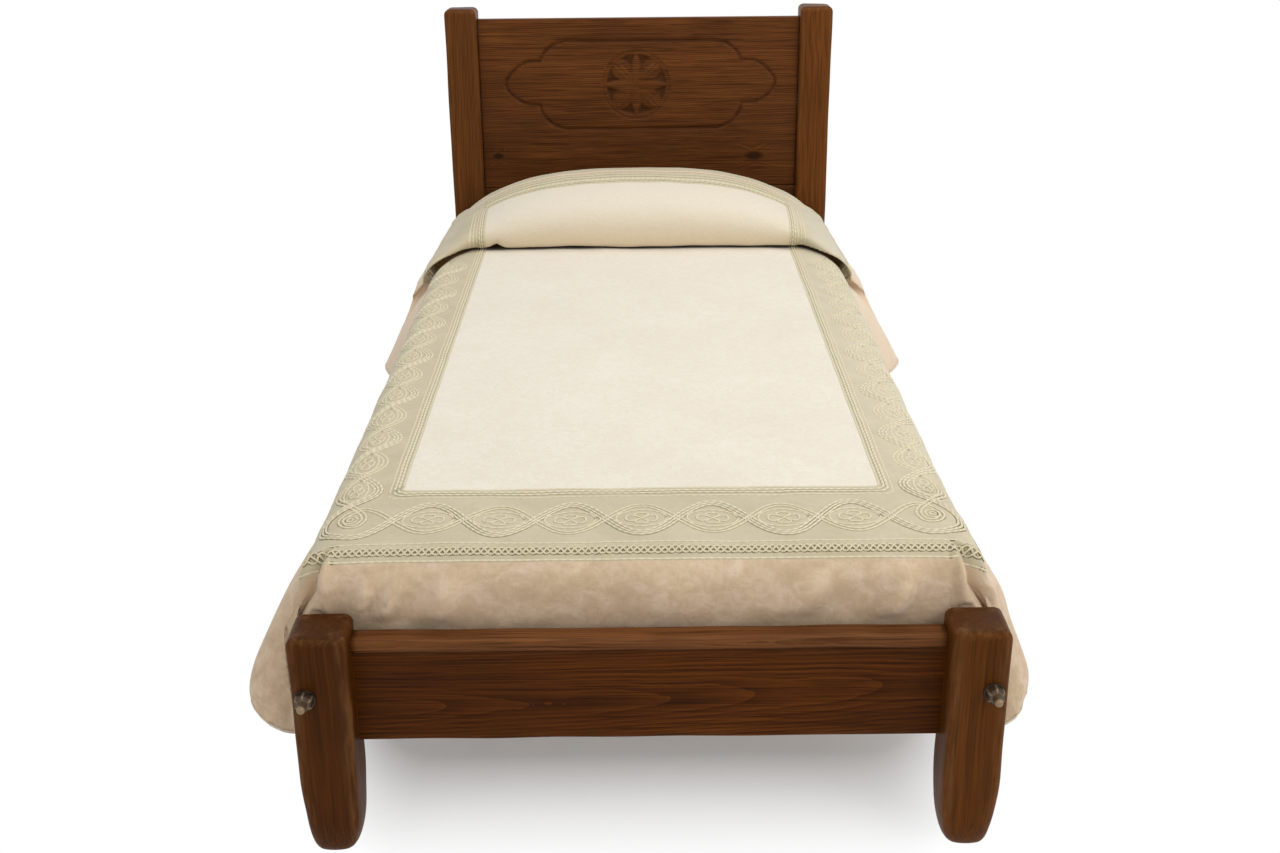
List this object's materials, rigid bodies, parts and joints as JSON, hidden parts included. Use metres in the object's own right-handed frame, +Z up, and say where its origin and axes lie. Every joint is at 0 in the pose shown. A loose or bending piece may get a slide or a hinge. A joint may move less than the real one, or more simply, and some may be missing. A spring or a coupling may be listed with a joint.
{
  "type": "single bed",
  "caption": "Period single bed in dark pine with a carved panel headboard, low capped footboard, bolted side rails, slatted base, mattress, pillow and bordered bedspread.",
  "frame": {"origin": "on the floor under the middle of the bed", "axes": "+Z up, +Y from the foot towards the head, +X to the right of a viewer at the foot"},
  "size_m": [1.1934, 2.268, 0.939],
  "materials": {
    "post_pine": "satin",
    "rail_pine": "satin",
    "panel_pine": "satin",
    "slat_pine": "matte",
    "old_iron": "matte",
    "ticking": "matte",
    "cotton": "matte",
    "spread_cloth": "matte"
  },
  "bodies": {
    "bed_frame": {"foot_post_left": "post_pine", "foot_post_right": "post_pine", "head_post_left": "post_pine", "head_post_right": "post_pine", "foot_rail": "rail_pine", "foot_rail_cap": "rail_pine", "headboard_lower_rail": "rail_pine", "side_rail_left": "rail_pine", "side_rail_right": "rail_pine", "headboard_panel": "panel_pine", "slat_ledger_left": "slat_pine", "slat_ledger_right": "slat_pine", "slat_01": "slat_pine", "slat_02": "slat_pine", "slat_03": "slat_pine", "slat_04": "slat_pine", "slat_05": "slat_pine", "slat_06": "slat_pine", "slat_07": "slat_pine", "slat_08": "slat_pine", "slat_09": "slat_pine", "slat_10": "slat_pine", "slat_11": "slat_pine", "slat_12": "slat_pine", "slat_13": "slat_pine", "slat_14": "slat_pine", "bed_bolt_foot_left": "old_iron", "bed_bolt_nut_foot_left": "old_iron", "bed_bolt_washer_foot_left": "old_iron", "bed_bolt_foot_right": "old_iron", "bed_bolt_nut_foot_right": "old_iron", "bed_bolt_washer_foot_right": "old_iron", "bed_bolt_head_left": "old_iron", "bed_bolt_nut_head_left": "old_iron", "bed_bolt_washer_head_left": "old_iron", "bed_bolt_head_right": "old_iron", "bed_bolt_nut_head_right": "old_iron", "bed_bolt_washer_head_right": "old_iron", "bed_bolt_anchor_foot_left": "old_iron", "bed_bolt_anchor_foot_right": "old_iron", "bed_bolt_anchor_head_left": "old_iron", "bed_bolt_anchor_head_right": "old_iron", "ledger_screw_left_1": "old_iron", "ledger_screw_left_2": "old_iron", "ledger_screw_left_3": "old_iron", "ledger_screw_left_4": "old_iron", "ledger_screw_left_5": "old_iron", "ledger_screw_right_1": "old_iron", "ledger_screw_right_2": "old_iron", "ledger_screw_right_3": "old_iron", "ledger_screw_right_4": "old_iron", "ledger_screw_right_5": "old_iron"},
    "mattress": {"mattress": "ticking"},
    "pillow": {"pillow": "cotton"},
    "bedspread": {"bedspread": "spread_cloth"}
  },
  "joints": [
    {"name": "mattress_lift", "type": "slide", "parent": "bed_frame", "child": "mattress", "axis": [0, 0, 1], "range_m": [0, 0.25]},
    {"name": "pillow_lift", "type": "slide", "parent": "mattress", "child": "pillow", "axis": [0, 0, 1], "range_m": [0, 0.3]},
    {"name": "spread_lift", "type": "slide", "parent": "pillow", "child": "bedspread", "axis": [0, 0, 1], "range_m": [0, 0.45]}
  ]
}
